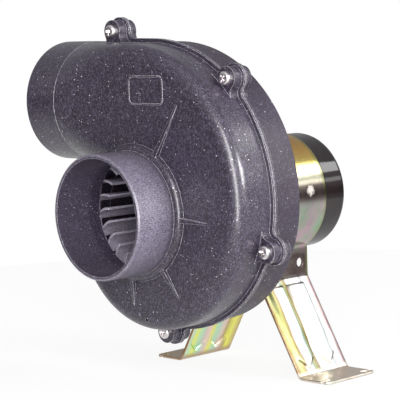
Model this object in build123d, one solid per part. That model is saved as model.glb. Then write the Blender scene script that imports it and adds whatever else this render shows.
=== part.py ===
from build123d import *
import os
from math import cos, degrees, radians, sin

# Centrifugal blower with a round inlet, a round outlet and a strap bracket.
# The part stands on its two feet: the mounting plane is Z = 0, the fan axis runs along Y,
# the inlet looks to -Y and the outlet to -X. All lengths are in millimetres.
# The pieces are drawn in the fan frame: x to the right and y up as seen from the inlet,
# z forward along the fan axis to the inlet, with the housing's parting plane at z = 0.

# Place of the fan axis
axis_height = 112.4
band_centre_z = -80.0

# Hose collars and housing walls
collar_r = 38.1
wall = 2.5
mouth_round = 0.8
inlet_mouth_z = 61.2
collar_cove = 4.0
outlet_end_x = -88.6
outlet_y = 66.0
outlet_collar_x = -62.0
duct_floor_y = 27.9
duct_step = 0.15
duct_sections = 4
duct_ease = 1.6
corner_flat = 0.1

# How far a cutting shape runs past the faces that it cuts
cut_margin = 1.0

# Scroll: four tangent arcs, centred on the corners of a square round the fan axis
scroll_step = 14.4
scroll_r = 79.8
tongue_start = 125.0
crown_start = 60.0
crown_step = 8.2
front_depth = 29.0
rear_depth = 24.6
front_edge_r = 8.5
rear_edge_r = 1.0
inner_edge_r = 0.6

# Lip along the parting line, and the screw lugs on it
lip_proud = 2.5
lip_thickness = 1.6
seam_groove_width = 0.4
seam_groove_depth = 0.5
lug_lip_r = 8.7
lug_flare_r = 5.0
lug_boss_r = 7.0
lug_web = 11.0
lug_web_reach = 9.0
lug_standoff = 5.6
bottom_lug_standoff = 4.5
front_boss = 8.0
rear_boss = 6.5
duct_lug_x = -38.4
duct_lug_standoff = 6.9

# Ribs, panel and drain on the front face
rib_angles_and_tips = [
    (59.2, 77.8),
    (-3.3, 62.0),
    (-54.5, 62.0),
    (-94.3, 58.4),
    (-141.0, 58.0),
    (180.0, 54.0),
]
rib_height = 3.2
rib_width = 3.4
rib_tip_width = 1.0
panel_x = 13.0
panel_y = 74.5
panel_length = 30.0
panel_width = 17.5
panel_corner = 3.5
panel_line = 0.9
panel_height = 0.5
drain_x = 6.5
drain_y = -66.0
drain_r = 1.1
drain_cut_depth = 10.0

# Screws
screw_r = 2.0
thread_gap = 0.05
screw_hole_r = 2.3
pan_head_r = 4.2
pan_head_height = 2.9
pan_head_round = 1.7
recess_width = 1.2
recess_length = 4.6
recess_depth = 1.6
screw_tip_gap = 0.4

# Impeller
blade_count = 24
blade_inner_r = 31.0
blade_outer_r = 43.0
blade_thickness = 1.4
blade_mid_lean = 1.9
blade_tip_lean = 8.5
impeller_mouth_gap = 2.1
impeller_back_z = -16.0
impeller_plate = 2.5
impeller_ring_r = 44.0
impeller_ring_width = 3.5
impeller_ring_depth = 3.0
impeller_dish_r = 26.0
impeller_dish = 5.0
hub_r = 11.0
hub_front_z = -1.0
hub_back_z = -18.5
bush_r = 7.5
set_screw_r = 2.0
set_screw_z = -5.5
set_screw_key = 1.1

# Motor
motor_r = 38.0
can_wall = 2.0
can_edge_r = 4.0
motor_end_z = -124.7
end_bump_r = 11.0
end_bump = 4.0
gasket_thickness = 1.0
plate_thickness = 3.0
spigot_length = 3.0
spigot_wall = 2.0
seat_rim = 2.5
seat_rim_height = 2.0
seat_gap = 0.3
press_gap = 0.02
bearing_boss_r = 12.0
bearing_boss_wall = 1.5
bearing_r = 8.0
bearing_length = 9.0
felt_length = 3.0
pilot_gap = 0.2
front_boss_z = -21.5
motor_screw_count = 4
motor_screw_circle_r = 25.0
motor_screw_head_height = 2.2
tie_bolt_r = 2.0
tie_bolt_circle_r = 31.0
tie_head_r = 3.6
tie_head_height = 2.4
magnet_thickness = 8.0
magnet_angle = 124.0
magnet_front_z = -43.0
magnet_length = 50.0
air_gap = 1.0

# Rotor
shaft_r = 4.0
running_gap = 0.04
shaft_middle_r = 5.0
shaft_front_z = -0.5
shaft_end_gap = 0.8
washer_thickness = 0.8
washer_r = 7.5
washer_gap = 0.3
core_front_z = -50.0
core_length = 36.0
slot_count = 12
slot_r = 3.2
slot_circle_r = 20.5
slot_mouth = 2.4
winding_gap = 0.15
winding_inner_r = 9.0
winding_outer_r = 24.0
winding_length = 8.5
winding_edge = 2.5
commutator_r = 12.0
commutator_front_z = -99.0
commutator_length = 13.0
commutator_bars = 12
commutator_slit = 0.8
commutator_slit_depth = 1.5

# Brush gear
brush_plate_front_z = -101.0
brush_plate_thickness = 2.5
brush_plate_hole_r = 14.5
brush_plate_gap = 0.1
brush_width = 6.0
brush_height = 6.0
brush_gap = 0.3
brush_outer_r = 23.0
holder_wall = 0.8
holder_gap = 0.1
holder_inner_r = 15.0
holder_overhang = 1.5
spring_wire = 0.6
spring_width = 3.0
spring_turn_r = 2.4
spring_post_r = 1.8
spring_post_v = 7.5

# Lead grommet
grommet_r = 4.0
grommet_flange_r = 5.5
grommet_flange = 1.5
grommet_bore_r = 2.2
grommet_x = 16.0
grommet_y = -21.0

# Bracket strap
strap_width = 46.0
strap_thickness = 1.5
band_gap = 0.1
band_end_angle = -55.0
neck_x = 20.0
neck_bend_y = -54.0
leg_splay = 29.7
bend_r = 4.0
foot_end_x = 77.0
foot_corner_r = 3.0
foot_hole_x = 72.5
foot_hole_z = 17.0
foot_hole_r = 2.5
foot_slit = 2.2
neck_hole_y = -44.5
neck_hole_z = 15.6
neck_hole_r = 3.0
leg_rib_height = 1.8
leg_rib_slope = 1.4
leg_rib_spans = [(3.2, 18.8), (22.0, 39.0)]
leg_rib_top_gap = 4.5
leg_rib_bottom_gap = 5.0
leg_rib_beak = 7.0

# Clamp bolt through the necks
clamp_bolt_r = 2.5
clamp_head_flat = 8.0
clamp_head_height = 3.6
clamp_nut_height = 4.0
clamp_washer_r = 5.2
clamp_washer_thickness = 1.0
clamp_bolt_tail = 3.0
face_gap = 0.02

# Worked-out places
fan_frame = Plane(origin=(0, band_centre_z, axis_height), x_dir=(1, 0, 0), z_dir=(0, -1, 0))
half_step = scroll_step / 2
impeller_front_z = front_depth - wall - impeller_mouth_gap
holder_outer_r = brush_outer_r + holder_overhang
gasket_z = -rear_depth
plate_z = gasket_z - gasket_thickness
can_front_z = plate_z - plate_thickness
can_inner_r = motor_r - can_wall
front_pocket_z = front_boss_z - bearing_boss_wall
front_boss_end_z = front_pocket_z - bearing_length - felt_length - press_gap
rear_pocket_z = motor_end_z - end_bump + can_wall
rear_boss_end_z = rear_pocket_z + bearing_length + felt_length + press_gap
foot_y = -axis_height
band_inner_r = motor_r + band_gap


def polar(radius, angle):
    return (radius * cos(radians(angle)), radius * sin(radians(angle)))


def disc(radius, z_from, z_to):
    """Cylinder on the fan axis between two heights."""
    return extrude(Plane.XY.offset(z_from) * Circle(radius), z_to - z_from)


def tube(outer_r, inner_r, z_from, z_to):
    return disc(outer_r, z_from, z_to) - disc(inner_r, z_from, z_to)


def rod(x, y, radius, z_from, z_to):
    """Cylinder parallel to the fan axis."""
    return Pos(x, y, 0) * disc(radius, z_from, z_to)


def block(x_from, x_to, y_from, y_to, z_from, z_to):
    size = (x_to - x_from, y_to - y_from, z_to - z_from)
    centre = ((x_to + x_from) / 2, (y_to + y_from) / 2, (z_to + z_from) / 2)
    return Pos(*centre) * Box(*size)


def ring_places(count, radius, first=0.0):
    return [polar(radius, first + 360 * i / count) for i in range(count)]


def joined(shapes):
    total = shapes[0]
    for shape in shapes[1:]:
        total = total + shape
    return total


# Scroll outline
def scroll_arcs(inset):
    """Each arc of the wall's outline as centre, radius, first angle and sweep, from the tongue on."""
    crown_x, crown_y = polar(crown_step, crown_start)
    return {
        "tongue": ((-half_step, -half_step), scroll_r - 2 * scroll_step - inset, 90, 90),
        "left": ((half_step, -half_step), scroll_r - scroll_step - inset, 180, 90),
        "right": ((half_step, half_step), scroll_r - inset, 270, 90),
        "top": ((-half_step, half_step), scroll_r + scroll_step - inset, 0, crown_start),
        "crown": (
            (-half_step - crown_x, half_step - crown_y),
            scroll_r + scroll_step + crown_step - inset,
            crown_start,
            90 - crown_start,
        ),
    }


def scroll_top(inset):
    """Highest point of the scroll's outline, where the duct begins."""
    (x, y), radius, first, sweep = scroll_arcs(inset)["crown"]
    return x, y + radius


def scroll_point(arc, angle, standoff):
    """Point outside the wall, with the direction that leads away from the scroll."""
    (cx, cy), radius, first, sweep = scroll_arcs(0)[arc]
    dx, dy = polar(radius + standoff, angle)
    return (cx + dx, cy + dy), angle


def scroll_outline(proud):
    """Face of the scroll, closed by straight cuts inside the outlet duct."""
    arcs = scroll_arcs(-proud)
    centre, radius, first, sweep = arcs.pop("tongue")
    curves = [CenterArc(centre, radius, tongue_start, first + sweep - tongue_start)]
    for centre, radius, first, sweep in arcs.values():
        curves.append(CenterArc(centre, radius, first, sweep))
    top_x, top_y = scroll_top(-proud)
    end_y = duct_top_y(duct_lug_x) + proud
    duct_middle = (duct_lug_x, (top_y + duct_floor_y) / 2)
    curves.append(Polyline((top_x, top_y), (duct_lug_x, end_y), duct_middle, curves[0] @ 0))
    return make_face(Curve() + curves)


def scroll_solid(inset, depth, edge_r):
    """Scroll with a rounded shoulder: one part turn per arc round a square core."""
    solid = block(-half_step, half_step, -half_step, half_step, 0, depth)
    for centre, radius, first, sweep in scroll_arcs(inset).values():
        section = Pos(radius / 2, depth / 2) * Rectangle(radius, depth)
        shoulder = section.vertices().group_by(Axis.X)[-1].sort_by(Axis.Y)[-1]
        turn = revolve(Plane.XZ * fillet(shoulder, edge_r), Axis.Z, sweep)
        solid = solid + Pos(*centre) * Rot(0, 0, first) * turn
    return solid


# Outlet duct
def duct_section(x, low, high, depth, corner):
    """Half of a rounded rectangle across the duct: flat on the parting plane, x along the duct."""
    plane = Plane(origin=(x, 0, 0), x_dir=(0, 1, 0), z_dir=(1, 0, 0))
    points = [(low, 0), (low, depth), (high, depth), (high, 0)]
    curve = FilletPolyline(*points, radius=corner)
    return plane * make_face(Curve() + [curve, Line(points[-1], points[0])])


def duct_blend(x):
    """Share of the change from the scroll's end to the round collar that is done at x."""
    start_x = scroll_top(0)[0]
    return ((x - start_x) / (outlet_collar_x - start_x)) ** duct_ease


def duct_top_y(x):
    top_y = scroll_top(0)[1]
    return top_y + (outlet_y + collar_r - top_y) * duct_blend(x)


def duct_half(inset, depth, edge_r):
    """One half of the duct, from the scroll's flat-sided end to the round collar."""
    start_x, top_y = scroll_top(inset)
    start = (duct_floor_y + inset, top_y, depth - inset, edge_r)
    end_r = collar_r - inset - duct_step
    end = (outlet_y - end_r, outlet_y + end_r, end_r, end_r - corner_flat)
    faces = []
    for i in range(duct_sections):
        x = start_x + (outlet_collar_x - start_x) * i / (duct_sections - 1)
        blend = duct_blend(x)
        low, high, deep, corner = [a + (b - a) * blend for a, b in zip(start, end)]
        faces.append(duct_section(x, low, high, deep, corner))
    return loft(faces)


def collar_half(radius, x_from, x_to):
    """Half cylinder round the outlet's axis, in front of the parting plane."""
    plane = Plane(origin=(x_from, outlet_y, 0), x_dir=(0, 1, 0), z_dir=(-1, 0, 0))
    round_bar = extrude(plane * Circle(radius), x_from - x_to)
    low_y = outlet_y - 2 * radius
    high_y = outlet_y + 2 * radius
    return round_bar & block(x_to, x_from, low_y, high_y, 0, 2 * radius)


# Lugs
def lug_places():
    """Centre of each screw lug, with the direction that leads away from the housing."""
    return [
        scroll_point("top", 47.5, lug_standoff),
        scroll_point("right", -18.9, lug_standoff),
        scroll_point("left", 265.1, bottom_lug_standoff),
        scroll_point("left", 213.0, lug_standoff),
        scroll_point("tongue", 165.0, lug_standoff),
        ((duct_lug_x, duct_top_y(duct_lug_x) + duct_lug_standoff), 90.0),
    ]


def lugged_face(proud, lug_r):
    """Outline with round lugs that flow into it through hollow flares."""
    face = scroll_outline(proud)
    for (x, y), angle in lug_places():
        dx, dy = polar(lug_web_reach / 2, angle + 180)
        web = Pos(x + dx, y + dy) * Rot(0, 0, angle) * Rectangle(lug_web_reach, lug_web)
        face = face + Pos(x, y) * Circle(lug_r) + web
    grown = offset(face, amount=lug_flare_r)
    return offset(grown, amount=-lug_flare_r)


def lip_band():
    """Lip along the parting line, stepped back where it meets the other half's lip."""
    lip = extrude(lugged_face(lip_proud, lug_lip_r), lip_thickness)
    groove = lugged_face(lip_proud + cut_margin, lug_lip_r + cut_margin)
    groove = groove - lugged_face(lip_proud - seam_groove_depth, lug_lip_r - seam_groove_depth)
    return lip - extrude(groove, seam_groove_width)


def lug_bosses(height):
    return extrude(lugged_face(0, lug_boss_r), height)


def lug_holes(radius):
    holes = [rod(x, y, radius, -cut_margin, 2 * front_boss) for (x, y), angle in lug_places()]
    return joined(holes)


# Housing halves, both drawn in front of the parting plane
def housing_half(depth, edge_r, boss_height):
    scroll = scroll_solid(0, depth, edge_r)
    collar = collar_half(collar_r, outlet_collar_x, outlet_end_x)
    return scroll + duct_half(0, depth, edge_r) + collar + lip_band() + lug_bosses(boss_height)


def housing_cavity(depth, edge_r):
    inner_r = max(edge_r - wall, inner_edge_r)
    bore = collar_half(collar_r - wall, outlet_collar_x, outlet_end_x - cut_margin)
    return scroll_solid(wall, depth - wall, inner_r) + duct_half(wall, depth, inner_r) + bore


def front_rib(angle, tip_r):
    """Tapered gusset from the inlet collar out along the front face."""
    root_r = collar_r - wall / 2
    half_root = rib_width / 2
    half_tip = rib_tip_width / 2
    corners = [(root_r, -half_root), (tip_r, -half_tip), (tip_r, half_tip), (root_r, half_root)]
    plan = Polyline(*corners, close=True)
    bar = extrude(Plane.XY.offset(front_depth - wall / 2) * make_face(plan), wall + rib_height)
    side = Polyline(
        (root_r, front_depth - wall / 2),
        (root_r, front_depth + rib_height),
        (tip_r, front_depth),
        (tip_r, front_depth - wall / 2),
        close=True,
    )
    wedge = extrude(Plane.XZ * make_face(side), rib_width, both=True)
    return Rot(0, 0, angle) * (bar & wedge)


def panel_outline(inset):
    return RectangleRounded(panel_length - 2 * inset, panel_width - 2 * inset, panel_corner - inset)


def make_front_housing():
    housing = housing_half(front_depth, front_edge_r, front_boss)
    cove_start = front_depth + collar_cove
    profile = Polyline(
        (collar_r + collar_cove, front_depth - wall / 2),
        (collar_r - wall - cut_margin, front_depth - wall / 2),
        (collar_r - wall - cut_margin, inlet_mouth_z),
        (collar_r - mouth_round, inlet_mouth_z),
        (collar_r, inlet_mouth_z - mouth_round),
        (collar_r, cove_start),
    )
    cove = RadiusArc(profile @ 1, (collar_r + collar_cove, front_depth), collar_cove)
    foot = Line(cove @ 1, profile @ 0)
    collar = revolve(Plane.XZ * make_face(Curve() + [profile, cove, foot]), Axis.Z)
    panel = panel_outline(0) - panel_outline(panel_line)
    panel = extrude(Pos(panel_x, panel_y, front_depth - panel_height) * panel, 2 * panel_height)
    ribs = joined([front_rib(angle, tip) for angle, tip in rib_angles_and_tips])
    housing = housing + collar + ribs + panel
    housing = housing - housing_cavity(front_depth, front_edge_r)
    housing = housing - disc(collar_r - wall, 0, inlet_mouth_z + cut_margin)
    drain_from_z = front_depth - drain_cut_depth
    housing = housing - rod(drain_x, drain_y, drain_r, drain_from_z, front_depth + cut_margin)
    return housing - lug_holes(screw_hole_r)


def make_rear_housing():
    """Drawn in front of the parting plane and mirrored behind it."""
    housing = housing_half(rear_depth, rear_edge_r, rear_boss)
    rim_inner_r = motor_r + seat_gap
    rim = tube(rim_inner_r + seat_rim, rim_inner_r, rear_depth - wall / 2, rear_depth + seat_rim_height)
    housing = housing - disc(rim_inner_r, rear_depth, 2 * rear_depth)
    housing = housing - housing_cavity(rear_depth, rear_edge_r) + rim
    housing = housing - disc(bearing_boss_r + pilot_gap, 0, 2 * rear_depth)
    for x, y in motor_screw_places():
        housing = housing - rod(x, y, screw_hole_r, 0, 2 * rear_depth)
    housing = housing - lug_holes(screw_r + thread_gap)
    return mirror(housing, about=Plane.XY)


# Screws
def pan_screw(head_z, length):
    """Cross-recessed pan-head screw whose head seats at head_z and points forward."""
    top = head_z + pan_head_height
    head = disc(pan_head_r, head_z, top)
    head = fillet(head.edges().sort_by(Axis.Z)[-1], pan_head_round)
    shank = disc(screw_r, head_z - length, head_z)
    slot = Pos(0, 0, top) * Box(recess_length, recess_width, 2 * recess_depth)
    return head + shank - slot - Rot(0, 0, 90) * slot


def make_housing_screws():
    screw = pan_screw(front_boss, front_boss + rear_boss - screw_tip_gap)
    placed = [Pos(x, y, 0) * Rot(0, 0, angle) * screw for (x, y), angle in lug_places()]
    return Compound(children=placed)


def make_motor_mount_screws():
    """Slotted screws whose heads lie inside the rear housing."""
    head_z = -rear_depth + wall
    top = head_z + motor_screw_head_height
    screw = disc(pan_head_r, head_z, top) + disc(screw_r, can_front_z, head_z)
    screw = screw - Pos(0, 0, top) * Box(recess_length, recess_width, motor_screw_head_height)
    return Compound(children=[Pos(x, y, 0) * screw for x, y in motor_screw_places()])


def motor_screw_places():
    return ring_places(motor_screw_count, motor_screw_circle_r, 45)


# Impeller and what holds it on the shaft
def blade_face():
    """Forward-curved blade across the fan axis: its tip leans in the direction of rotation."""
    middle_r = (blade_inner_r + blade_outer_r) / 2
    stations = [(blade_inner_r, 0), (middle_r, blade_mid_lean), (blade_outer_r, blade_tip_lean)]
    sides = []
    for side in (-1, 1):
        points = []
        for radius, lean in stations:
            half_angle = degrees(blade_thickness / 2 / radius)
            points.append(polar(radius, lean + side * half_angle))
        sides.append(ThreePointArc(*points))
    inner = Line(sides[0] @ 0, sides[1] @ 0)
    outer = Line(sides[0] @ 1, sides[1] @ 1)
    return make_face(Curve() + [sides[0], sides[1], inner, outer])


def make_impeller():
    """Cage of curved blades between a dished back plate and a front ring."""
    plate_front_z = impeller_back_z + impeller_plate
    profile = Polyline(
        (0, impeller_back_z + impeller_dish),
        (impeller_dish_r - impeller_dish, impeller_back_z + impeller_dish),
        (impeller_dish_r, impeller_back_z),
        (blade_outer_r, impeller_back_z),
        (blade_outer_r, plate_front_z),
        (impeller_dish_r, plate_front_z),
        (impeller_dish_r - impeller_dish, plate_front_z + impeller_dish),
        (0, plate_front_z + impeller_dish),
        close=True,
    )
    back = revolve(Plane.XZ * make_face(profile), Axis.Z)
    hub = disc(hub_r, hub_back_z, hub_front_z)
    ring_back_z = impeller_front_z - impeller_ring_depth
    ring = tube(impeller_ring_r, impeller_ring_r - impeller_ring_width, ring_back_z, impeller_front_z)
    blade_plane = Plane.XY.offset(plate_front_z - impeller_plate / 2)
    blade = extrude(blade_plane * blade_face(), impeller_front_z - plate_front_z)
    blades = [Rot(0, 0, 360 * i / blade_count) * blade for i in range(blade_count)]
    cage = back + hub + ring + blades
    cage = cage - disc(bush_r + press_gap, -rear_depth, impeller_front_z)
    return cage - set_screw_bar(set_screw_r + thread_gap, 2 * hub_r)


def set_screw_bar(radius, length):
    """Cylinder that leads from the shaft out along +x."""
    plane = Plane(origin=(shaft_r, 0, set_screw_z), x_dir=(0, 1, 0), z_dir=(1, 0, 0))
    return extrude(plane * Circle(radius), length)


def make_impeller_hub():
    bush = tube(bush_r, shaft_r + press_gap, hub_back_z, hub_front_z)
    return bush - set_screw_bar(set_screw_r + thread_gap, 2 * hub_r)


def make_hub_set_screw():
    screw = set_screw_bar(set_screw_r, hub_r - shaft_r)
    plane = Plane(origin=(hub_r, 0, set_screw_z), x_dir=(0, 1, 0), z_dir=(-1, 0, 0))
    return screw - extrude(plane * RegularPolygon(set_screw_key, 6), recess_depth)


# Motor casing
def make_motor_gasket():
    gasket = tube(motor_r, bearing_boss_r + pilot_gap, plate_z, gasket_z)
    for x, y in motor_screw_places():
        gasket = gasket - rod(x, y, screw_hole_r, plate_z, gasket_z)
    return gasket


def make_motor_front_plate():
    plate = disc(motor_r, can_front_z, plate_z)
    spigot_r = can_inner_r - brush_plate_gap
    plate = plate + tube(spigot_r, spigot_r - spigot_wall, can_front_z - spigot_length, can_front_z)
    plate = plate + disc(bearing_boss_r, front_boss_end_z, front_boss_z)
    plate = plate - disc(bearing_r + press_gap, front_boss_end_z, front_pocket_z)
    plate = plate - disc(shaft_r + pilot_gap, front_pocket_z, front_boss_z)
    for x, y in motor_screw_places():
        plate = plate - rod(x, y, screw_r + thread_gap, can_front_z, plate_z)
    for x, y in tie_bolt_places():
        plate = plate - rod(x, y, tie_bolt_r + thread_gap, can_front_z - spigot_length, plate_z)
    return plate


def tie_bolt_places():
    return ring_places(2, tie_bolt_circle_r, 90)


def round_back_edge(cylinder, radius):
    return fillet(cylinder.edges().sort_by(Axis.Z)[0], radius)


def make_motor_can():
    """Deep-drawn cup with a bearing bump at its closed end."""
    cup = round_back_edge(disc(motor_r, motor_end_z, can_front_z), can_edge_r)
    hollow = disc(can_inner_r, motor_end_z + can_wall, can_front_z)
    hollow = round_back_edge(hollow, can_edge_r - can_wall)
    bump = disc(end_bump_r, motor_end_z - end_bump, motor_end_z + can_wall)
    bump = round_back_edge(bump, can_wall)
    boss = disc(bearing_r + can_wall, motor_end_z, rear_boss_end_z)
    can = cup - hollow + bump + boss - disc(bearing_r + press_gap, rear_pocket_z, rear_boss_end_z)
    for x, y in tie_bolt_places():
        can = can - rod(x, y, screw_hole_r, motor_end_z, motor_end_z + can_wall)
    return can - rod(grommet_x, grommet_y, grommet_r + press_gap, motor_end_z, motor_end_z + can_wall)


def make_through_bolts():
    bolts = []
    for x, y in tie_bolt_places():
        head = rod(x, y, tie_head_r, motor_end_z - tie_head_height, motor_end_z)
        slot = block(x - tie_head_r, x + tie_head_r, y - recess_width / 2, y + recess_width / 2,
                     motor_end_z - 2 * tie_head_height, motor_end_z - tie_head_height / 2)
        bolts.append(head + rod(x, y, tie_bolt_r, motor_end_z, plate_z) - slot)
    return Compound(children=bolts)


def make_lead_grommet():
    inside_z = motor_end_z + can_wall
    grommet = disc(grommet_r, motor_end_z - face_gap, inside_z + face_gap)
    grommet = grommet + disc(grommet_flange_r, motor_end_z - grommet_flange, motor_end_z - face_gap)
    grommet = grommet + disc(grommet_flange_r, inside_z + face_gap, inside_z + grommet_flange)
    bore = disc(grommet_bore_r, motor_end_z - grommet_flange, inside_z + grommet_flange)
    return Pos(grommet_x, grommet_y, 0) * (grommet - bore)


def make_field_magnets():
    magnets = []
    outer_r = can_inner_r - press_gap
    for middle in (0, 180):
        start = middle - magnet_angle / 2
        outer = CenterArc((0, 0), outer_r, start, magnet_angle)
        inner = CenterArc((0, 0), outer_r - magnet_thickness, start, magnet_angle)
        face = make_face(Curve() + [outer, inner, Line(outer @ 0, inner @ 0), Line(outer @ 1, inner @ 1)])
        magnets.append(extrude(Plane.XY.offset(magnet_front_z - magnet_length) * face, magnet_length))
    return Compound(children=magnets)


# Bearings
def bearing(from_z):
    return tube(bearing_r, shaft_r + running_gap, from_z, from_z + bearing_length)


def make_front_bearing():
    return bearing(front_pocket_z - bearing_length)


def make_rear_bearing():
    return bearing(rear_pocket_z)


def oil_felt(from_z):
    return tube(bearing_r, shaft_r + seat_gap, from_z, from_z + felt_length)


def make_oil_felts():
    front = oil_felt(front_boss_end_z + press_gap)
    rear = oil_felt(rear_boss_end_z - press_gap - felt_length)
    return Compound(children=[front, rear])


# Rotor
def shaft_shoulders():
    """Heights where the thick middle of the shaft begins and ends."""
    step = washer_gap + washer_thickness
    return front_boss_end_z - step, rear_boss_end_z + step


def make_motor_shaft():
    front_z, rear_z = shaft_shoulders()
    thin = disc(shaft_r, rear_pocket_z + shaft_end_gap, shaft_front_z)
    return thin + disc(shaft_middle_r, rear_z, front_z)


def make_thrust_washers():
    front_z, rear_z = shaft_shoulders()
    front = tube(washer_r, shaft_r + press_gap, front_z, front_z + washer_thickness)
    rear = tube(washer_r, shaft_r + press_gap, rear_z - washer_thickness, rear_z)
    return Compound(children=[front, rear])


def core_outer_r():
    return can_inner_r - press_gap - magnet_thickness - air_gap


def slot_face(gap):
    """Round winding slot, open to the air gap through a narrow mouth."""
    mouth = Pos(slot_circle_r + slot_r, 0) * Rectangle(2 * slot_r, slot_mouth - 2 * gap)
    return Pos(slot_circle_r, 0) * Circle(slot_r - gap) + mouth


def make_armature_core():
    core = tube(core_outer_r(), shaft_middle_r + press_gap, core_front_z - core_length, core_front_z)
    slot = extrude(Plane.XY.offset(core_front_z - core_length) * slot_face(0), core_length)
    for i in range(slot_count):
        core = core - Rot(0, 0, 360 * i / slot_count) * slot
    return core


def make_armature_windings():
    """Two bevelled end turns joined by the wire in the slots."""
    core_back_z = core_front_z - core_length
    profile_width = winding_outer_r - winding_inner_r
    section = chamfer(Rectangle(profile_width, winding_length).vertices(), winding_edge)
    centre_r = (winding_outer_r + winding_inner_r) / 2
    centre_step = winding_length / 2 + face_gap
    end_turns = []
    for z in (core_front_z + centre_step, core_back_z - centre_step):
        end_turns.append(revolve(Plane.XZ * Pos(centre_r, z) * section, Axis.Z))
    total = joined(end_turns)
    wire_back_z = core_back_z - winding_length / 2
    wire_front_z = core_front_z + winding_length / 2
    for x, y in ring_places(slot_count, slot_circle_r):
        total = total + rod(x, y, slot_r - winding_gap, wire_back_z, wire_front_z)
    return total


def make_commutator():
    back_z = commutator_front_z - commutator_length
    ring = tube(commutator_r, shaft_middle_r + press_gap, back_z, commutator_front_z)
    floor_r = commutator_r - commutator_slit_depth
    half_slit = commutator_slit / 2
    slit = block(floor_r, 2 * commutator_r, -half_slit, half_slit, back_z, commutator_front_z)
    for i in range(commutator_bars):
        ring = ring - Rot(0, 0, 360 * (i + 0.5) / commutator_bars) * slit
    return ring


# Brush gear, drawn for the brush on +x and turned for the other one
def brush_z_span():
    top = brush_plate_front_z - brush_plate_thickness - holder_wall - holder_gap
    return top - brush_height, top


def brush_pair(piece):
    return Compound(children=[piece, Rot(0, 0, 180) * piece])


def make_brush_plate():
    back_z = brush_plate_front_z - brush_plate_thickness
    plate = tube(can_inner_r - brush_plate_gap, brush_plate_hole_r, back_z, brush_plate_front_z)
    for x, y in tie_bolt_places():
        plate = plate - rod(x, y, screw_hole_r, back_z, brush_plate_front_z)
    post_end_z = brush_z_span()[0]
    post = rod(brush_outer_r + spring_post_r, spring_post_v, spring_post_r, post_end_z, back_z)
    return plate + post + Rot(0, 0, 180) * post


def make_brush_holders():
    low, high = brush_z_span()
    half = brush_width / 2 + holder_gap
    low = low - holder_gap
    high = high + holder_gap
    out = half + holder_wall
    outside = block(holder_inner_r, holder_outer_r, -out, out, low - holder_wall, high + holder_wall)
    inside = block(holder_inner_r, holder_outer_r, -half, half, low, high)
    window = block(brush_outer_r - spring_wire, holder_outer_r, 0, out, low, high)
    return brush_pair(outside - inside - window)


def make_carbon_brushes():
    low, high = brush_z_span()
    brush = block(commutator_r - brush_gap, brush_outer_r, -brush_width / 2, brush_width / 2, low, high)
    return brush_pair(brush - disc(commutator_r + brush_gap, low, high))


def make_brush_springs():
    """Flat strip coiled round its post, with an arm that presses on the brush's back."""
    low, high = brush_z_span()
    post = (brush_outer_r + spring_post_r, spring_post_v)
    first_turn = CenterArc(post, spring_turn_r, 0, 270)
    arm_start = first_turn @ 0
    arm = Line(arm_start, (brush_outer_r + spring_wire, 0))
    middle = (low + high) / 2
    strip = trace([first_turn, arm], spring_wire)
    return brush_pair(extrude(Plane.XY.offset(middle - spring_width / 2) * strip, spring_width))


# Bracket
def strap_path():
    """Inner line of the strap from foot to foot over the band, with equal bends on both sides."""
    start = polar(band_inner_r, band_end_angle)
    away = polar(1, band_end_angle - 90)
    reach = (start[0] - neck_x) / -away[0]
    corner = (neck_x, start[1] + away[1] * reach)
    knee = (neck_x, neck_bend_y)
    heel = (neck_x + leg_length() * sin(radians(leg_splay)), foot_y)
    toe = (foot_end_x, foot_y)
    right = FilletPolyline(start, corner, knee, heel, toe, radius=bend_r)
    band = CenterArc((0, 0), band_inner_r, band_end_angle, 180 - 2 * band_end_angle)
    left = mirror(right, about=Plane.YZ)
    return Wire(right.edges() + band.edges() + left.edges())


def leg_frame(side):
    """Plane on a leg's outer face: x runs down the leg, y runs back from the strap's front edge."""
    slant = radians(leg_splay)
    down = Vector(side * sin(slant), -cos(slant), 0)
    outward = Vector(side * cos(slant), sin(slant), 0)
    knee = Vector(side * neck_x, neck_bend_y, band_centre_z + strap_width / 2)
    return Plane(origin=knee + outward * strap_thickness, x_dir=down, z_dir=outward)


def leg_length():
    return (neck_bend_y - foot_y) / cos(radians(leg_splay))


def leg_rib_face(side, start, end, inset):
    """Outline of one pressed rib: square at the knee, drawn to a point at the foot."""
    top = leg_rib_top_gap + inset
    bottom = leg_length() - leg_rib_bottom_gap - inset
    low = side * (start + inset)
    high = side * (end - inset)
    middle = (low + high) / 2
    beak = bottom - leg_rib_beak
    points = [(top, low), (beak, low), (bottom, middle), (beak, high), (top, high)]
    return make_face(Polyline(*points, close=True))


def leg_rib(side, start, end, low_z, high_z, inset):
    """Flat-topped rib with sloping sides between two heights over the leg's outer face."""
    frame = leg_frame(side)
    wide = frame.offset(low_z) * leg_rib_face(side, start, end, inset)
    narrow = frame.offset(high_z) * leg_rib_face(side, start, end, inset + leg_rib_slope)
    return loft([wide, narrow])


def foot_cut(side, z_sign):
    """Mounting hole with the slit that opens it to the strap's edge."""
    x = side * foot_hole_x
    z = band_centre_z + z_sign * foot_hole_z
    frame = Plane(origin=(x, foot_y - cut_margin, z), x_dir=(1, 0, 0), z_dir=(0, 1, 0))
    slit_reach = strap_width / 2 - foot_hole_z + cut_margin
    slit = Pos(0, -z_sign * slit_reach / 2) * Rectangle(foot_slit, slit_reach)
    return extrude(frame * (Circle(foot_hole_r) + slit), strap_thickness + 2 * cut_margin)


def neck_bar(radius, x_from, x_to, z_sign=1):
    """Cylinder across both necks on the line of their holes."""
    z = band_centre_z + z_sign * neck_hole_z
    frame = Plane(origin=(x_from, neck_hole_y, z), x_dir=(0, 1, 0), z_dir=(1, 0, 0))
    return extrude(frame * Circle(radius), x_to - x_from)


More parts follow.
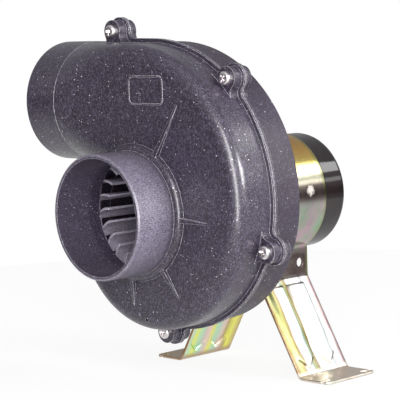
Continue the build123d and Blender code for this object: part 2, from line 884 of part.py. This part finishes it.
def make_mount_bracket():
    """One strap: a band round the motor, two necks, two ribbed legs and two feet."""
    face = make_face(offset(strap_path(), amount=strap_thickness, side=Side.LEFT))
    strap = extrude(Plane.XY.offset(band_centre_z - strap_width / 2) * face, strap_width)
    toes = strap.edges().filter_by(Axis.Y).filter_by_position(Axis.Y, foot_y, foot_y + strap_thickness)
    strap = fillet(toes, foot_corner_r)
    for side in (-1, 1):
        for start, end in leg_rib_spans:
            strap = strap + leg_rib(side, start, end, 0, leg_rib_height, 0)
            strap = strap - leg_rib(side, start, end, -strap_thickness, leg_rib_height - strap_thickness, 0)
    for side in (-1, 1):
        for z_sign in (-1, 1):
            strap = strap - foot_cut(side, z_sign)
    half_cut = neck_x + 2 * strap_thickness
    for z_sign in (-1, 1):
        strap = strap - neck_bar(neck_hole_r, -half_cut, half_cut, z_sign)
    return strap


# Clamp bolt through the necks
def clamp_face_x():
    return neck_x + strap_thickness + face_gap


def make_clamp_washers():
    inner = clamp_face_x()
    outer = inner + clamp_washer_thickness
    hole = neck_bar(clamp_bolt_r + seat_gap / 2, -outer, outer)
    head_side = neck_bar(clamp_washer_r, inner, outer) - hole
    nut_side = neck_bar(clamp_washer_r, -outer, -inner) - hole
    return Compound(children=[head_side, nut_side])


def hex_bar(x_from, x_to):
    z = band_centre_z + neck_hole_z
    frame = Plane(origin=(x_from, neck_hole_y, z), x_dir=(0, 1, 0), z_dir=(1, 0, 0))
    return extrude(frame * RegularPolygon(clamp_head_flat / 2, 6, major_radius=False), x_to - x_from)


def make_clamp_bolt():
    head_x = clamp_face_x() + clamp_washer_thickness + face_gap
    tip_x = -head_x - clamp_nut_height - clamp_bolt_tail
    return hex_bar(head_x, head_x + clamp_head_height) + neck_bar(clamp_bolt_r, tip_x, head_x)


def make_clamp_nut():
    face_x = clamp_face_x() + clamp_washer_thickness + face_gap
    nut = hex_bar(-face_x - clamp_nut_height, -face_x)
    return nut - neck_bar(clamp_bolt_r + press_gap, -face_x - clamp_nut_height, -face_x)


# Writing the pieces
def write_piece(name, shape):
    """Moves a piece from the fan frame to the part's frame and writes it."""
    placed = fan_frame.location * shape
    export_step(placed, os.path.join("parts", name + ".step"))


def main():
    os.makedirs("parts", exist_ok=True)
    write_piece("front_housing", make_front_housing())
    write_piece("rear_housing", make_rear_housing())
    write_piece("housing_screws", make_housing_screws())
    write_piece("motor_mount_screws", make_motor_mount_screws())
    write_piece("motor_gasket", make_motor_gasket())
    write_piece("motor_front_plate", make_motor_front_plate())
    write_piece("motor_can", make_motor_can())
    write_piece("through_bolts", make_through_bolts())
    write_piece("lead_grommet", make_lead_grommet())
    write_piece("field_magnets", make_field_magnets())
    write_piece("front_bearing", make_front_bearing())
    write_piece("rear_bearing", make_rear_bearing())
    write_piece("oil_felts", make_oil_felts())
    write_piece("brush_plate", make_brush_plate())
    write_piece("brush_holders", make_brush_holders())
    write_piece("carbon_brushes", make_carbon_brushes())
    write_piece("brush_springs", make_brush_springs())
    write_piece("impeller", make_impeller())
    write_piece("impeller_hub", make_impeller_hub())
    write_piece("hub_set_screw", make_hub_set_screw())
    write_piece("motor_shaft", make_motor_shaft())
    write_piece("thrust_washers", make_thrust_washers())
    write_piece("armature_core", make_armature_core())
    write_piece("armature_windings", make_armature_windings())
    write_piece("commutator", make_commutator())
    write_piece("mount_bracket", make_mount_bracket())
    write_piece("clamp_bolt", make_clamp_bolt())
    write_piece("clamp_nut", make_clamp_nut())
    write_piece("clamp_washers", make_clamp_washers())


main()
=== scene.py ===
"""Looks of a centrifugal blower on a strap bracket: camera, lights, floor, and the finish of every piece."""
import math

import bpy
from mathutils import Matrix, Vector


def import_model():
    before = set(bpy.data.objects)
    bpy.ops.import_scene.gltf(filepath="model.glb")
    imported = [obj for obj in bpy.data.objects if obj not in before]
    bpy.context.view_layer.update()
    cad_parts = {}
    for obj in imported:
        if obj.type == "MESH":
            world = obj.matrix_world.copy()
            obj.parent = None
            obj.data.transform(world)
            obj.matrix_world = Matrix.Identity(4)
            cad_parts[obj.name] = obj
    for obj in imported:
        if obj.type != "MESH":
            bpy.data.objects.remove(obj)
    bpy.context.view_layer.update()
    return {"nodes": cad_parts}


MM = 0.001

# Camera: its place in metres, the directions to the right and up of its picture, its lens and sensor in mm
CAMERA_PLACE = (0.7598, -0.8059, 0.2284)
CAMERA_RIGHT = (0.7059, 0.7075, -0.0331)
CAMERA_UP = (-0.0517, 0.0981, 0.9938)
CAMERA_LENS = 153.15
CAMERA_SENSOR = 36.0
CAMERA_NEAREST = 0.01

# Lights: soft boxes that look at one point. Azimuth 0 is +X and 90 is +Y. Both angles are in degrees,
# distance, width and height in metres, and power in watts.
LIGHT_TARGET = (0.0, -0.04, 0.11)
LIGHTS = {
    "window": {
        "azimuth": 55.0, "elevation": 28.5, "distance": 1.6,
        "width": 0.46, "height": 0.34, "power": 2.3,
    },
    "low window": {
        "azimuth": 46.0, "elevation": 13.0, "distance": 1.6,
        "width": 0.5, "height": 0.14, "power": 0.45,
    },
    "front light": {
        "azimuth": -44.0, "elevation": 12.0, "distance": 1.7,
        "width": 0.46, "height": 1.70, "power": 46.0,
    },
    "top light": {
        "azimuth": -80.0, "elevation": 72.0, "distance": 1.8,
        "width": 1.2, "height": 1.2, "power": 2.6,
    },
    "side light": {
        "azimuth": 15.0, "elevation": 17.0, "distance": 1.6,
        "width": 0.4, "height": 0.4, "power": 23.0,
    },
}

# World: the even tone that lights dull surfaces, and the tones that shiny ones mirror, from straight down
# at 0 to straight up at 1, with a dark skirting round the horizon
SKY_LIGHT = 0.38
STUDIO_TONES = [
    (0.00, (0.50, 0.50, 0.50)),
    (0.40, (0.40, 0.40, 0.40)),
    (0.45, (0.09, 0.09, 0.09)),
    (0.51, (0.08, 0.08, 0.08)),
    (0.565, (0.36, 0.36, 0.37)),
    (0.70, (0.44, 0.44, 0.46)),
    (0.88, (0.36, 0.36, 0.38)),
    (1.00, (0.30, 0.30, 0.32)),
]

# Floor: its tone, how much of it the camera sees as plain white, and how bright the part mirrors it
FLOOR_RADIUS = 0.55
FLOOR_SIDES = 96
FLOOR_TONE = 0.9
FLOOR_MOTTLE = 0.02
FLOOR_WHITE_SHARE = 0.9
FLOOR_MIRRORED = 0.8

# Places on the part, in metres. The collar, band and motor share the fan's axis, which runs
# along Y. The collar's start is measured forward, to -Y, and its skin and foot are distances from the axis.
# The weld mark's angle is in degrees round the axis, up from +X.
FAN_AXIS_HEIGHT = 0.1124
COLLAR_START = 0.113
COLLAR_SKIN = 0.0370
COLLAR_FOOT = 0.0420
BAND_RADIUS = 0.0396
BAND_LOW_EDGE = 0.058
NECK_TOP = 0.073
STRAP_HALF_WIDTH = 0.023
FOOT_FADE_TOP = 0.0050
FOOT_FADE_END = 0.0022
WELD_ANGLE = 6.0
WELD_Y = 0.008
WELD_REACH = 8.0 * MM
WELD_CORE = 2.0 * MM

# How far the shading rounds sharp edges, and how closely it samples them
MOULDED_EDGE = {"radius": 0.45 * MM, "samples": 6}
STRAP_EDGE = {"radius": 1.3 * MM, "samples": 8}

# Dots on the moulded plastic: cells per metre, radius in cells, and the share of cells that have one
SMALL_DOTS = {"scale": 620.0, "radius": 0.17, "share": 0.085}
LARGE_DOTS = {"scale": 170.0, "radius": 0.06, "share": 0.45}
GREY_DOTS = {"scale": 1000.0, "radius": 0.36, "share": 0.10}

# Chromate films. The leg's run across the strap, from its front edge at 0 to its rear edge at 1.
INNER_LEG_FILM = [
    (0.00, (0.74, 0.84, 0.60)),
    (0.05, (0.66, 0.92, 0.62)),
    (0.15, (0.94, 1.00, 0.18)),
    (0.27, (0.52, 0.88, 0.62)),
    (0.37, (0.88, 0.66, 0.64)),
    (0.46, (0.98, 0.96, 0.14)),
    (0.58, (0.46, 0.84, 0.58)),
    (0.72, (0.86, 0.66, 0.60)),
    (0.80, (0.55, 0.44, 0.20)),
    (0.87, (0.98, 0.98, 0.12)),
    (1.00, (0.62, 0.46, 0.16)),
]
OUTER_LEG_FILM = [
    (0.00, (0.12, 0.06, 0.03)),
    (0.03, (0.28, 0.20, 0.07)),
    (0.08, (0.46, 0.48, 0.20)),
    (0.13, (0.38, 0.36, 0.13)),
    (0.17, (0.26, 0.18, 0.09)),
    (0.21, (0.88, 0.84, 0.78)),
    (0.33, (0.92, 0.90, 0.82)),
    (0.37, (0.20, 0.28, 0.25)),
    (0.42, (0.25, 0.25, 0.06)),
    (0.47, (0.13, 0.08, 0.03)),
    (0.50, (0.90, 0.88, 0.78)),
    (0.74, (0.92, 0.92, 0.90)),
    (0.79, (0.20, 0.24, 0.24)),
    (0.83, (0.90, 0.88, 0.86)),
    (0.91, (0.80, 0.72, 0.70)),
    (0.95, (0.34, 0.24, 0.25)),
    (1.00, (0.14, 0.09, 0.07)),
]
# The band's runs up it, from its lowest point at 0 to its highest at 1
BAND_FILM = [
    (0.00, (0.13, 0.09, 0.09)),
    (0.10, (0.30, 0.26, 0.24)),
    (0.25, (0.36, 0.42, 0.35)),
    (0.42, (0.42, 0.37, 0.38)),
    (0.52, (0.28, 0.20, 0.20)),
    (0.59, (0.27, 0.21, 0.18)),
    (0.66, (0.86, 0.84, 0.62)),
    (0.75, (0.98, 0.86, 0.24)),
    (0.85, (0.92, 0.56, 0.12)),
    (1.00, (0.50, 0.27, 0.08)),
]
# Green and rose clouds low on the band, by the strength of their noise
BAND_CLOUDS = [
    (0.38, (0.27, 0.46, 0.28)),
    (0.50, (0.42, 0.42, 0.36)),
    (0.60, (0.56, 0.34, 0.44)),
]

# Sockets of a colour Mix node, which carry the same names as those of its other kinds
MIX_FACTOR, MIX_FIRST, MIX_SECOND, MIX_RESULT = 0, 6, 7, 2


def connect(tree, value, socket):
    if isinstance(value, bpy.types.NodeSocket):
        tree.links.new(value, socket)
    else:
        socket.default_value = value


def node(tree, kind, settings=None, **inputs):
    """Adds a node. Each input is a number, a colour or another node's output."""
    made = tree.nodes.new(kind)
    for name, value in (settings or {}).items():
        setattr(made, name, value)
    for name, value in inputs.items():
        connect(tree, value, made.inputs[name.replace("_", " ")])
    return made


def colour(red, green, blue):
    return (red, green, blue, 1.0)


def grey(value):
    return colour(value, value, value)


def darker(tone, share):
    return colour(*(share * channel for channel in tone[:3]))


def mix(tree, factor, first, second):
    """Mixes two colours."""
    made = node(tree, "ShaderNodeMix", {"data_type": "RGBA"})
    connect(tree, factor, made.inputs[MIX_FACTOR])
    connect(tree, first, made.inputs[MIX_FIRST])
    connect(tree, second, made.inputs[MIX_SECOND])
    return made.outputs[MIX_RESULT]


def shader_mix(tree, factor, first, second):
    """Mixes two surface shaders."""
    made = tree.nodes.new("ShaderNodeMixShader")
    for value, socket in zip((factor, first, second), made.inputs):
        connect(tree, value, socket)
    return made.outputs[0]


def math_node(tree, operation, first, second):
    made = node(tree, "ShaderNodeMath", {"operation": operation})
    connect(tree, first, made.inputs[0])
    connect(tree, second, made.inputs[1])
    return made.outputs[0]


def product(tree, first, second):
    return math_node(tree, "MULTIPLY", first, second)


def vector_math(tree, operation, first, second):
    """Dot product or distance of two vectors."""
    made = node(tree, "ShaderNodeVectorMath", {"operation": operation})
    connect(tree, first, made.inputs[0])
    connect(tree, second, made.inputs[1])
    return made.outputs["Value"]


def axes(tree, vector):
    """Outputs X, Y and Z of a vector."""
    return node(tree, "ShaderNodeSeparateXYZ", Vector=vector).outputs


def spread(tree, value, low, high, to_low=0.0, to_high=1.0):
    """Maps low to high onto another range, held at its ends."""
    made = node(tree, "ShaderNodeMapRange", Value=value, From_Min=low, From_Max=high,
                To_Min=to_low, To_Max=to_high)
    return made.outputs["Result"]


def ramp(tree, value, stops):
    """Colour ramp with stops of (place, (red, green, blue))."""
    made = tree.nodes.new("ShaderNodeValToRGB")
    elements = made.color_ramp.elements
    while len(elements) < len(stops):
        elements.new(0.5)
    for element, (place, tone) in zip(elements, stops):
        element.position = place
        element.color = colour(*tone)
    connect(tree, value, made.inputs[0])
    return made.outputs[0]


def noise(tree, place, scale, detail=2.0, roughness=0.5):
    made = node(tree, "ShaderNodeTexNoise", Vector=place, Scale=scale, Detail=detail, Roughness=roughness)
    return made.outputs[0]


def stretched(tree, place, scale, turn=(0.0, 0.0, 0.0)):
    """Coordinates turned and stretched, for streaks."""
    return node(tree, "ShaderNodeMapping", Vector=place, Rotation=turn, Scale=scale).outputs[0]


def start_material(name, metallic=0.0):
    """New material with its tree, its surface shader and the piece's own coordinates."""
    material = bpy.data.materials.new(name)
    material.use_nodes = True
    tree = material.node_tree
    shader = tree.nodes["Principled BSDF"]
    shader.inputs["Metallic"].default_value = metallic
    place = node(tree, "ShaderNodeTexCoord").outputs["Object"]
    return material, tree, shader, place


def bevelled(tree, radius, samples):
    """Normal that rounds the edges."""
    return node(tree, "ShaderNodeBevel", {"samples": samples}, Radius=radius).outputs[0]


def bump(tree, shader, height, strength, distance, normal=None):
    """Fine relief, on the piece's own normal or on the one given."""
    made = node(tree, "ShaderNodeBump", Height=height, Strength=strength, Distance=distance)
    if normal is not None:
        tree.links.new(normal, made.inputs["Normal"])
    tree.links.new(made.outputs[0], shader.inputs["Normal"])


def dots(tree, place, scale, radius, share):
    """Mask of small dots, in a share of the cells of a scattered pattern."""
    cells = node(tree, "ShaderNodeTexVoronoi", Vector=place, Scale=scale)
    picked = node(tree, "ShaderNodeSeparateColor", Color=cells.outputs["Color"])
    near = math_node(tree, "LESS_THAN", cells.outputs["Distance"], radius)
    chosen = math_node(tree, "LESS_THAN", picked.outputs[0], share)
    return product(tree, near, chosen)


def edge_mask(tree, rounded):
    """Mask of where the rounded normal leaves the true one."""
    true_normal = node(tree, "ShaderNodeNewGeometry").outputs["Normal"]
    return spread(tree, vector_math(tree, "DOT_PRODUCT", rounded, true_normal), 0.94, 0.80)


def collar_scuffs_and_sheen(tree, place):
    """Mask of streaky scuffing on the inlet collar, strong on its outside and weak within; its pale colour is
    partly wear and partly a painted highlight.
    """
    forward = product(tree, axes(tree, place)["Y"], -1.0)
    in_section = stretched(tree, place, (1.0, 0.0, 1.0))
    from_axis = vector_math(tree, "DISTANCE", in_section, (0.0, 0.0, FAN_AXIS_HEIGHT))
    on_skin = spread(tree, from_axis, COLLAR_SKIN - 0.5 * MM, COLLAR_SKIN, to_low=0.25)
    on_collar = product(tree, on_skin, math_node(tree, "LESS_THAN", from_axis, COLLAR_FOOT))
    past_start = spread(tree, forward, COLLAR_START, COLLAR_START + 4.0 * MM)
    streaks = stretched(tree, place, (1.0, 0.3, 1.0), turn=(0.7, 0.0, 0.0))
    scratches = noise(tree, streaks, scale=2400.0, detail=3.0, roughness=0.7)
    worn_and_sheen = spread(tree, scratches, 0.42, 0.62, to_low=0.15)
    return product(tree, product(tree, on_collar, past_start), worn_and_sheen)


def moulded_plastic(name, tone, warm_tone, speck_tone, roughness, gloss, scuffs_and_sheen=False):
    """Glass-filled black moulding: cloudy tone, fine grain, pale specks, flow streaks, and pale lines along
    the edges that are painted highlights.
    """
    material, tree, shader, place = start_material(name)
    rounded = bevelled(tree, **MOULDED_EDGE)
    clouds = noise(tree, place, scale=22.0, detail=3.0, roughness=0.55)
    base = mix(tree, spread(tree, clouds, 0.38, 0.66), tone, warm_tone)
    grain = noise(tree, place, scale=1300.0, roughness=0.6)
    base = mix(tree, spread(tree, grain, 0.53, 0.66, to_high=0.9), base, speck_tone)
    streaks = stretched(tree, place, (1.0, 1.0, 0.3), turn=(0.6, 0.8, 0.4))
    flow = noise(tree, streaks, scale=1100.0, roughness=0.6)
    base = mix(tree, spread(tree, flow, 0.54, 0.68, to_high=0.5), base, speck_tone)
    base = mix(tree, dots(tree, place, **GREY_DOTS), base, colour(0.11, 0.10, 0.13))
    pale_dots = math_node(tree, "MAXIMUM", dots(tree, place, **SMALL_DOTS), dots(tree, place, **LARGE_DOTS))
    base = mix(tree, pale_dots, base, colour(0.62, 0.58, 0.66))
    if scuffs_and_sheen:
        # Streaky scuffs on the collar: partly real wear, partly a painted highlight that lightens its outside
        base = mix(tree, collar_scuffs_and_sheen(tree, place), base, colour(0.20, 0.18, 0.24))
    # Pale lines along the edges are painted highlights, set where the rounded normal leaves the true one
    pale_edge_highlight = product(tree, edge_mask(tree, rounded), spread(tree, grain, 0.42, 0.6, to_low=0.5))
    base = mix(tree, pale_edge_highlight, base, colour(0.80, 0.77, 0.83))
    tree.links.new(base, shader.inputs["Base Color"])
    shader.inputs["Coat Weight"].default_value = gloss
    shader.inputs["Coat Roughness"].default_value = 0.23
    uneven = noise(tree, place, scale=160.0, detail=4.0, roughness=0.65)
    shine = spread(tree, uneven, 0.3, 0.7, roughness - 0.05, roughness + 0.07)
    tree.links.new(shine, shader.inputs["Roughness"])
    height = math_node(tree, "ADD", grain, product(tree, uneven, 1.5))
    bump(tree, shader, height, 0.35, 0.15 * MM, rounded)
    return material


def housing_plastic():
    tone = colour(0.013, 0.008, 0.019)
    warm_tone = colour(0.011, 0.007, 0.014)
    speck_tone = colour(0.100, 0.082, 0.136)
    return moulded_plastic("housing plastic", tone, warm_tone, speck_tone, roughness=0.48, gloss=0.64,
                           scuffs_and_sheen=True)


def rear_housing_plastic():
    tone = colour(0.017, 0.012, 0.025)
    warm_tone = colour(0.021, 0.014, 0.020)
    speck_tone = colour(0.066, 0.054, 0.088)
    return moulded_plastic("rear housing plastic", tone, warm_tone, speck_tone, roughness=0.50, gloss=0.1)


def impeller_plastic():
    # These tones are much lighter than the impeller's black moulding: painted light inside the inlet
    tone = colour(0.26, 0.23, 0.30)
    warm_tone = colour(0.22, 0.19, 0.25)
    speck_tone = colour(0.50, 0.46, 0.55)
    return moulded_plastic("impeller plastic", tone, warm_tone, speck_tone, roughness=0.4, gloss=0.8)


def bright_zinc(name, tone, roughness):
    """Plated steel, slightly cloudy, with fine scuffs."""
    material, tree, shader, place = start_material(name, metallic=1.0)
    clouds = noise(tree, place, scale=260.0, detail=3.0, roughness=0.6)
    cloudy = mix(tree, spread(tree, clouds, 0.42, 0.7), tone, darker(tone, 0.72))
    tree.links.new(cloudy, shader.inputs["Base Color"])
    scuffs = noise(tree, stretched(tree, place, (1.0, 1.0, 8.0)), scale=700.0, detail=3.0)
    shine = spread(tree, scuffs, 0.3, 0.7, roughness - 0.06, roughness + 0.12)
    tree.links.new(shine, shader.inputs["Roughness"])
    bump(tree, shader, clouds, 0.15, 0.1 * MM)
    return material


def motor_enamel():
    """Gloss black enamel with a slight ripple."""
    material, tree, shader, place = start_material("motor enamel")
    shader.inputs["Specular IOR Level"].default_value = 0.64
    ripple = noise(tree, place, scale=55.0)
    tone = mix(tree, spread(tree, ripple, 0.35, 0.65), colour(0.006, 0.004, 0.005),
               colour(0.011, 0.007, 0.007))
    tree.links.new(tone, shader.inputs["Base Color"])
    tree.links.new(spread(tree, ripple, 0.3, 0.7, 0.05, 0.10), shader.inputs["Roughness"])
    bump(tree, shader, ripple, 0.08, 0.3 * MM)
    return material


def leg_film(tree, at, across):
    """Stripes down the legs, one set on their inner side and one on their outer, and a brown front edge."""
    inner = ramp(tree, across, INNER_LEG_FILM)
    outer = ramp(tree, across, OUTER_LEG_FILM)
    facing = axes(tree, node(tree, "ShaderNodeNewGeometry").outputs["Normal"])
    outward = product(tree, facing["X"], at["X"])
    film = mix(tree, spread(tree, outward, -0.002, 0.002), inner, outer)
    cut_edge = spread(tree, at["Y"], 0.5 * MM - STRAP_HALF_WIDTH, 0.2 * MM - STRAP_HALF_WIDTH)
    return mix(tree, cut_edge, film, colour(0.34, 0.19, 0.08))


def band_film(tree, place, at, across):
    """Gold over the band's top, darker and cloudy below, with an olive rim at its rear edge."""
    up = spread(tree, at["Z"], FAN_AXIS_HEIGHT - BAND_RADIUS, FAN_AXIS_HEIGHT + BAND_RADIUS)
    film = ramp(tree, up, BAND_FILM)
    streaks = stretched(tree, place, (1.0, 1.0, 0.35), turn=(0.5, 0.0, 0.0))
    clouds = ramp(tree, noise(tree, streaks, scale=110.0), BAND_CLOUDS)
    low_band = spread(tree, at["Z"], FAN_AXIS_HEIGHT, FAN_AXIS_HEIGHT - 12.0 * MM, to_high=0.7)
    above_neck = spread(tree, at["Z"], NECK_TOP, NECK_TOP + 4.0 * MM)
    film = mix(tree, product(tree, low_band, above_neck), film, clouds)
    rim = spread(tree, across, 0.92, 0.97)
    return mix(tree, product(tree, rim, 0.7), film, colour(0.30, 0.34, 0.10))


def foot_film(tree, at, wander):
    """Pale patches on the right foot; the left foot is painted a darker brown, as painted shade."""
    pale = mix(tree, spread(tree, wander, 0.40, 0.60), colour(0.95, 0.80, 0.66), colour(0.88, 0.84, 0.72))
    # The left foot's darker brown is painted shade
    return mix(tree, spread(tree, at["X"], -0.02, 0.02), colour(0.50, 0.35, 0.21), pale)


def weld_mark(tree, place):
    """Mask of a ragged spot-weld mark on the band's side."""
    angle = math.radians(WELD_ANGLE)
    centre = (BAND_RADIUS * math.cos(angle), WELD_Y, FAN_AXIS_HEIGHT + BAND_RADIUS * math.sin(angle))
    near = spread(tree, vector_math(tree, "DISTANCE", place, centre), WELD_REACH, WELD_CORE)
    ragged = noise(tree, place, scale=800.0, detail=3.0, roughness=0.8)
    return spread(tree, product(tree, near, ragged), 0.34, 0.46)


def chromate_steel():
    """Yellow chromate over zinc: gold round the band, iridescent stripes down the legs, one weld mark."""
    material, tree, shader, place = start_material("yellow chromate steel", metallic=1.0)
    at = axes(tree, place)
    wander = noise(tree, stretched(tree, place, (1.0, 1.0, 0.4)), scale=34.0, detail=3.0, roughness=0.6)
    shift = product(tree, math_node(tree, "SUBTRACT", wander, 0.5), 7.0 * MM)
    across = spread(tree, math_node(tree, "ADD", at["Y"], shift), -STRAP_HALF_WIDTH, STRAP_HALF_WIDTH)
    on_leg = spread(tree, at["Z"], BAND_LOW_EDGE + 3.0 * MM, BAND_LOW_EDGE - 3.0 * MM)
    film = mix(tree, on_leg, band_film(tree, place, at, across), leg_film(tree, at, across))
    on_foot = spread(tree, at["Z"], FOOT_FADE_TOP, FOOT_FADE_END)
    film = mix(tree, product(tree, on_foot, 0.9), film, foot_film(tree, at, wander))
    patches = noise(tree, place, scale=60.0, detail=4.0, roughness=0.6)
    tone = mix(tree, spread(tree, patches, 0.4, 0.7, to_high=0.22), film, colour(0.84, 0.80, 0.70))
    mark = weld_mark(tree, place)
    tree.links.new(mix(tree, mark, tone, colour(0.62, 0.57, 0.53)), shader.inputs["Base Color"])
    brushed = noise(tree, stretched(tree, place, (1.0, 12.0, 1.0)), scale=160.0, detail=3.0)
    shine = spread(tree, brushed, 0.3, 0.7, 0.13, 0.25)
    shine = math_node(tree, "ADD", shine, product(tree, on_leg, 0.14))
    shine = math_node(tree, "MAXIMUM", shine, product(tree, mark, 0.6))
    tree.links.new(shine, shader.inputs["Roughness"])
    height = math_node(tree, "ADD", patches, product(tree, mark, 2.0))
    bump(tree, shader, height, 0.12, 0.2 * MM, bevelled(tree, **STRAP_EDGE))
    return material


def soft_rubber():
    """Dark rubber with a little dust."""
    material, tree, shader, place = start_material("soft rubber")
    dust = noise(tree, place, scale=420.0, detail=3.0)
    tone = mix(tree, spread(tree, dust, 0.45, 0.8), colour(0.022, 0.021, 0.022), colour(0.07, 0.068, 0.066))
    tree.links.new(tone, shader.inputs["Base Color"])
    shader.inputs["Roughness"].default_value = 0.7
    bump(tree, shader, dust, 0.2, 0.1 * MM)
    return material


def plain_metal(name, tone, roughness, line_scale):
    """Machined or sintered metal, with turning lines that are finer the larger line_scale is."""
    material, tree, shader, place = start_material(name, metallic=1.0)
    lines = noise(tree, stretched(tree, place, (1.0, line_scale, 1.0)), scale=400.0, detail=3.0)
    lined = mix(tree, spread(tree, lines, 0.4, 0.7), tone, darker(tone, 0.7))
    tree.links.new(lined, shader.inputs["Base Color"])
    shine = spread(tree, lines, 0.3, 0.7, roughness - 0.05, roughness + 0.1)
    tree.links.new(shine, shader.inputs["Roughness"])
    bump(tree, shader, lines, 0.1, 0.05 * MM)
    return material


def dull_solid(name, tone, light_tone, roughness, scale):
    """Felt, board, carbon or ferrite: a dull body with a fine mottle."""
    material, tree, shader, place = start_material(name)
    mottle = noise(tree, place, scale=scale, detail=4.0, roughness=0.6)
    tree.links.new(mix(tree, spread(tree, mottle, 0.35, 0.75), tone, light_tone), shader.inputs["Base Color"])
    shader.inputs["Roughness"].default_value = roughness
    bump(tree, shader, mottle, 0.25, 0.1 * MM)
    return material


def make_finishes():
    """The finish of every CAD node."""
    zinc = bright_zinc("zinc screws", colour(0.90, 0.85, 0.86), 0.27)
    clamp_zinc = bright_zinc("clamp zinc", colour(0.78, 0.76, 0.70), 0.28)
    chromate = chromate_steel()
    rubber = soft_rubber()
    bronze = plain_metal("sintered bronze", colour(0.60, 0.42, 0.22), 0.45, 1.0)
    brass = plain_metal("brass", colour(0.80, 0.62, 0.30), 0.25, 4.0)
    steel = plain_metal("ground steel", colour(0.62, 0.61, 0.60), 0.22, 6.0)
    spring = plain_metal("spring steel", colour(0.42, 0.43, 0.46), 0.28, 3.0)
    laminations = plain_metal("laminations", colour(0.36, 0.35, 0.34), 0.4, 14.0)
    copper = plain_metal("copper", colour(0.80, 0.40, 0.24), 0.3, 5.0)
    cast = plain_metal("cast plate", colour(0.58, 0.58, 0.59), 0.42, 1.0)
    ferrite = dull_solid("ferrite", colour(0.045, 0.045, 0.05), colour(0.09, 0.09, 0.10), 0.55, 900.0)
    carbon = dull_solid("carbon", colour(0.03, 0.03, 0.033), colour(0.08, 0.08, 0.085), 0.5, 1400.0)
    felt = dull_solid("felt", colour(0.50, 0.45, 0.37), colour(0.68, 0.63, 0.55), 0.9, 1800.0)
    board = dull_solid("laminate board", colour(0.20, 0.11, 0.05), colour(0.34, 0.20, 0.10), 0.5, 500.0)
    return {
        "front_housing": housing_plastic(),
        "rear_housing": rear_housing_plastic(),
        "impeller": impeller_plastic(),
        "housing_screws": zinc,
        "motor_mount_screws": zinc,
        "through_bolts": zinc,
        "motor_gasket": rubber,
        "lead_grommet": rubber,
        "motor_front_plate": cast,
        "motor_can": motor_enamel(),
        "field_magnets": ferrite,
        "front_bearing": bronze,
        "rear_bearing": bronze,
        "oil_felts": felt,
        "brush_plate": board,
        "brush_holders": brass,
        "carbon_brushes": carbon,
        "brush_springs": spring,
        "impeller_hub": brass,
        "hub_set_screw": spring,
        "motor_shaft": steel,
        "thrust_washers": steel,
        "armature_core": laminations,
        "armature_windings": copper,
        "commutator": copper,
        "mount_bracket": chromate,
        "clamp_bolt": clamp_zinc,
        "clamp_nut": clamp_zinc,
        "clamp_washers": clamp_zinc,
    }


def dress(nodes):
    for name, material in make_finishes().items():
        mesh = nodes[name].data
        mesh.materials.clear()
        mesh.materials.append(material)


def make_camera():
    data = bpy.data.cameras.new("camera")
    data.lens = CAMERA_LENS
    data.sensor_width = CAMERA_SENSOR
    data.clip_start = CAMERA_NEAREST
    camera = bpy.data.objects.new("camera", data)
    right = Vector(CAMERA_RIGHT).normalized()
    up = Vector(CAMERA_UP).normalized()
    turn = Matrix((right, up, right.cross(up))).transposed()
    camera.matrix_world = Matrix.Translation(CAMERA_PLACE) @ turn.to_4x4()
    bpy.context.scene.collection.objects.link(camera)
    bpy.context.scene.camera = camera


def make_light(name, azimuth, elevation, distance, width, height, power):
    """Soft box in a direction from the part, not seen by the camera."""
    data = bpy.data.lights.new(name, "AREA")
    data.shape = "RECTANGLE"
    data.size = width
    data.size_y = height
    data.energy = power
    light = bpy.data.objects.new(name, data)
    flat = math.cos(math.radians(elevation))
    direction = Vector((
        flat * math.cos(math.radians(azimuth)),
        flat * math.sin(math.radians(azimuth)),
        math.sin(math.radians(elevation)),
    ))
    light.location = Vector(LIGHT_TARGET) + direction * distance
    light.rotation_euler = (-direction).to_track_quat("-Z", "Y").to_euler()
    light.visible_camera = False
    bpy.context.scene.collection.objects.link(light)


def make_world():
    """White to the camera, a studio with a dark skirting to shiny surfaces, and an even sky to dull ones."""
    world = bpy.data.worlds.new("studio")
    bpy.context.scene.world = world
    world.use_nodes = True
    tree = world.node_tree
    output = tree.nodes["World Output"]
    tree.nodes.remove(tree.nodes["Background"])
    direction = node(tree, "ShaderNodeTexCoord").outputs["Generated"]
    studio = ramp(tree, spread(tree, axes(tree, direction)["Z"], -1.0, 1.0), STUDIO_TONES)
    rays = node(tree, "ShaderNodeLightPath").outputs
    shiny = math_node(tree, "MAXIMUM", rays["Is Glossy Ray"], rays["Is Transmission Ray"])
    seen = mix(tree, shiny, grey(SKY_LIGHT), studio)
    seen = mix(tree, rays["Is Camera Ray"], seen, grey(1.0))
    background = node(tree, "ShaderNodeBackground", Color=seen)
    tree.links.new(background.outputs[0], output.inputs["Surface"])


def make_floor():
    """Pale round table that keeps the part's shadow and runs out to white."""
    bpy.ops.mesh.primitive_circle_add(vertices=FLOOR_SIDES, radius=FLOOR_RADIUS, fill_type="NGON")
    floor = bpy.context.object
    floor.name = "floor"
    material, tree, shader, place = start_material("floor paper")
    fibre = noise(tree, place, scale=300.0, detail=3.0)
    tone = mix(tree, spread(tree, fibre, 0.3, 0.7), grey(FLOOR_TONE), grey(FLOOR_TONE - FLOOR_MOTTLE))
    tree.links.new(tone, shader.inputs["Base Color"])
    shader.inputs["Roughness"].default_value = 0.9
    rays = node(tree, "ShaderNodeLightPath").outputs
    white = node(tree, "ShaderNodeEmission", Color=grey(1.0), Strength=1.0)
    white_share = product(tree, rays["Is Camera Ray"], FLOOR_WHITE_SHARE)
    seen = shader_mix(tree, white_share, shader.outputs[0], white.outputs[0])
    mirrored = node(tree, "ShaderNodeEmission", Color=grey(1.0), Strength=FLOOR_MIRRORED)
    seen = shader_mix(tree, rays["Is Glossy Ray"], seen, mirrored.outputs[0])
    tree.links.new(seen, tree.nodes["Material Output"].inputs["Surface"])
    floor.data.materials.append(material)


def main():
    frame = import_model()
    bpy.context.scene.view_settings.view_transform = "Standard"
    make_camera()
    make_world()
    for name, light in LIGHTS.items():
        make_light(name, **light)
    make_floor()
    dress(frame["nodes"])


main()
